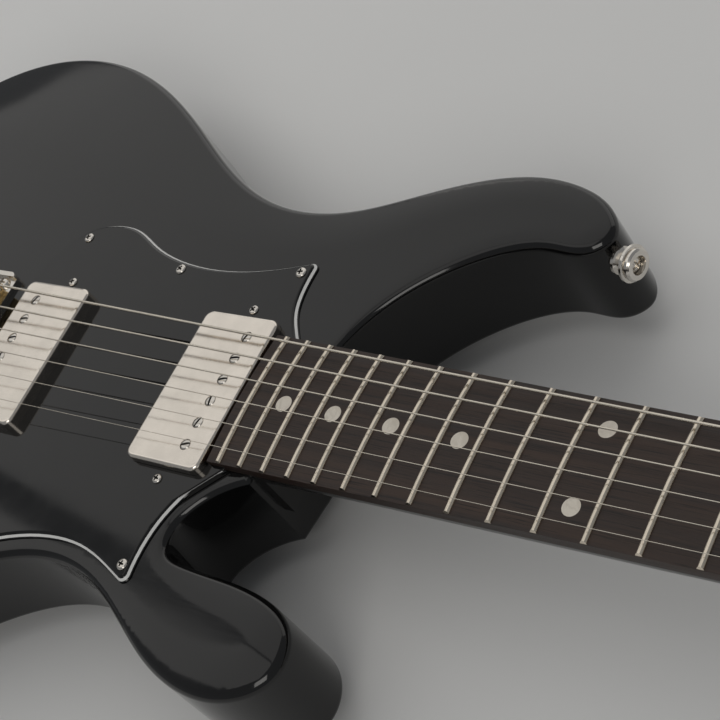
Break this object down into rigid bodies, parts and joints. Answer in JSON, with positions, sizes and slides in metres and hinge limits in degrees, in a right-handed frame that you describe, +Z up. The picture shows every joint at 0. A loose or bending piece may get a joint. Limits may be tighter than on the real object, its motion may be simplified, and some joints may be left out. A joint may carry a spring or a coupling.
{
  "type": "electric guitar",
  "caption": "Solid-body electric guitar with offset body, set neck, dot inlays, two covered humbuckers, plate bridge, pickguard with controls, and worm-gear tuners.",
  "frame": {"origin": "on the flat back of the body, on the centreline, straight below the line at the saddles from which the scale length is counted", "axes": "+X along the neck towards the headstock, +Y towards the bass side, +Z up out of the top"},
  "size_m": [0.9883, 0.3321, 0.0817],
  "materials": {
    "body_lacquer": "gloss black lacquer over wood",
    "neck_lacquer": "gloss black lacquer over wood",
    "fingerboard_wood": "oiled dark open grain",
    "fret_wire": "polished nickel silver",
    "inlay": "polished",
    "nut": "polished",
    "steel": "plain",
    "black_plastic": "satin",
    "screw_nickel": "polished",
    "guard_black": "high gloss",
    "guard_white": "satin edge",
    "nickel": "polished",
    "pickup_nickel": "polished",
    "brass": "machined",
    "string_steel": "wound and plain wire",
    "knob_plastic": "gloss",
    "coil_wire": "enamelled wire",
    "magnet": "cast"
  },
  "bodies": {
    "instrument": {"body": "body_lacquer", "bridge_pickup_baseplate": "nickel", "bridge_pickup_bobbins": "black_plastic", "bridge_pickup_coils": "coil_wire", "bridge_pickup_cover": "pickup_nickel", "bridge_pickup_magnet": "magnet", "bridge_pickup_poles": "screw_nickel", "bridge_plate": "nickel", "bridge_screws": "screw_nickel", "control_nuts": "nickel", "fretboard": "fingerboard_wood", "frets": "fret_wire", "headstock_screws": "screw_nickel", "inlay_dots": "inlay", "intonation_screws": "screw_nickel", "jack_plate": "nickel", "neck": "neck_lacquer", "neck_pickup_baseplate": "nickel", "neck_pickup_bobbins": "black_plastic", "neck_pickup_coils": "coil_wire", "neck_pickup_cover": "pickup_nickel", "neck_pickup_magnet": "magnet", "neck_pickup_poles": "screw_nickel", "nut": "nut", "output_jack": "nickel", "pickguard_black_plies": "guard_black", "pickguard_screws": "screw_nickel", "pickguard_white_ply": "guard_white", "pickup_height_screws": "screw_nickel", "pickup_springs": "steel", "potentiometers": "steel", "side_screws": "screw_nickel", "strap_buttons": "nickel", "strings": "string_steel", "toggle_switch": "steel", "truss_cover": "black_plastic", "truss_rod": "steel", "tuner_bushings": "nickel", "tuner_housings": "nickel"},
    "volume_control": {"volume_shaft": "brass", "volume_knob": "knob_plastic"},
    "tone_control": {"tone_shaft": "brass", "tone_knob": "knob_plastic"},
    "toggle": {"toggle_lever": "knob_plastic"},
    "bass_saddle": {"bass_saddle": "brass", "bass_saddle_screws": "steel"},
    "treble_saddle": {"treble_saddle": "brass", "treble_saddle_screws": "steel"},
    "post_1": {"tuner_post_1": "nickel"},
    "key_1": {"tuner_key_1": "nickel"},
    "post_2": {"tuner_post_2": "nickel"},
    "key_2": {"tuner_key_2": "nickel"},
    "post_3": {"tuner_post_3": "nickel"},
    "key_3": {"tuner_key_3": "nickel"},
    "post_4": {"tuner_post_4": "nickel"},
    "key_4": {"tuner_key_4": "nickel"},
    "post_5": {"tuner_post_5": "nickel"},
    "key_5": {"tuner_key_5": "nickel"},
    "post_6": {"tuner_post_6": "nickel"},
    "key_6": {"tuner_key_6": "nickel"}
  },
  "joints": [
    {"name": "volume_turn", "type": "hinge", "parent": "instrument", "child": "volume_control", "pos_m": [0.01093, -0.08663, 0.044], "axis": [0, 0, 1], "range_deg": [0, 300]},
    {"name": "tone_turn", "type": "hinge", "parent": "instrument", "child": "tone_control", "pos_m": [-0.025, -0.099, 0.044], "axis": [0, 0, 1], "range_deg": [0, 300]},
    {"name": "toggle_flip", "type": "hinge", "parent": "instrument", "child": "toggle", "pos_m": [-0.06471, -0.11267, 0.0469], "axis": [-0.3256, 0.9455, 0], "range_deg": [-12, 12]},
    {"name": "bass_saddle_slide", "type": "slide", "parent": "instrument", "child": "bass_saddle", "axis": [1, 0, 0], "range_m": [-0.0015, 0.004]},
    {"name": "treble_saddle_slide", "type": "slide", "parent": "instrument", "child": "treble_saddle", "axis": [1, 0, 0], "range_m": [-0.0015, 0.004]},
    {"name": "key_1_turn", "type": "hinge", "parent": "instrument", "child": "key_1", "pos_m": [0.68053, 0.021, 0.00958], "axis": [0, 1, 0], "continuous": true},
    {"name": "post_1_turn", "type": "hinge", "parent": "instrument", "child": "post_1", "pos_m": [0.6766, 0.021, 0.02919], "axis": [0.1908, 0, 0.9816], "continuous": true},
    {"name": "key_2_turn", "type": "hinge", "parent": "instrument", "child": "key_2", "pos_m": [0.7198, 0.024, 0.00195], "axis": [0, 1, 0], "continuous": true},
    {"name": "post_2_turn", "type": "hinge", "parent": "instrument", "child": "post_2", "pos_m": [0.71586, 0.024, 0.02156], "axis": [0.1908, 0, 0.9816], "continuous": true},
    {"name": "key_3_turn", "type": "hinge", "parent": "instrument", "child": "key_3", "pos_m": [0.75906, 0.0265, -0.00569], "axis": [0, 1, 0], "continuous": true},
    {"name": "post_3_turn", "type": "hinge", "parent": "instrument", "child": "post_3", "pos_m": [0.75513, 0.0265, 0.01392], "axis": [0.1908, 0, 0.9816], "continuous": true},
    {"name": "key_4_turn", "type": "hinge", "parent": "instrument", "child": "key_4", "pos_m": [0.75906, -0.0265, -0.00569], "axis": [0, 1, 0], "continuous": true},
    {"name": "post_4_turn", "type": "hinge", "parent": "instrument", "child": "post_4", "pos_m": [0.75513, -0.0265, 0.01392], "axis": [0.1908, 0, 0.9816], "continuous": true},
    {"name": "key_5_turn", "type": "hinge", "parent": "instrument", "child": "key_5", "pos_m": [0.7198, -0.024, 0.00195], "axis": [0, 1, 0], "continuous": true},
    {"name": "post_5_turn", "type": "hinge", "parent": "instrument", "child": "post_5", "pos_m": [0.71586, -0.024, 0.02156], "axis": [0.1908, 0, 0.9816], "continuous": true},
    {"name": "key_6_turn", "type": "hinge", "parent": "instrument", "child": "key_6", "pos_m": [0.68053, -0.021, 0.00958], "axis": [0, 1, 0], "continuous": true},
    {"name": "post_6_turn", "type": "hinge", "parent": "instrument", "child": "post_6", "pos_m": [0.6766, -0.021, 0.02919], "axis": [0.1908, 0, 0.9816], "continuous": true}
  ],
  "couplings": [
    {"joint": "post_1_turn", "follows": "key_1_turn", "ratio": -0.071429},
    {"joint": "post_2_turn", "follows": "key_2_turn", "ratio": -0.071429},
    {"joint": "post_3_turn", "follows": "key_3_turn", "ratio": -0.071429},
    {"joint": "post_4_turn", "follows": "key_4_turn", "ratio": -0.071429},
    {"joint": "post_5_turn", "follows": "key_5_turn", "ratio": -0.071429},
    {"joint": "post_6_turn", "follows": "key_6_turn", "ratio": -0.071429}
  ]
}
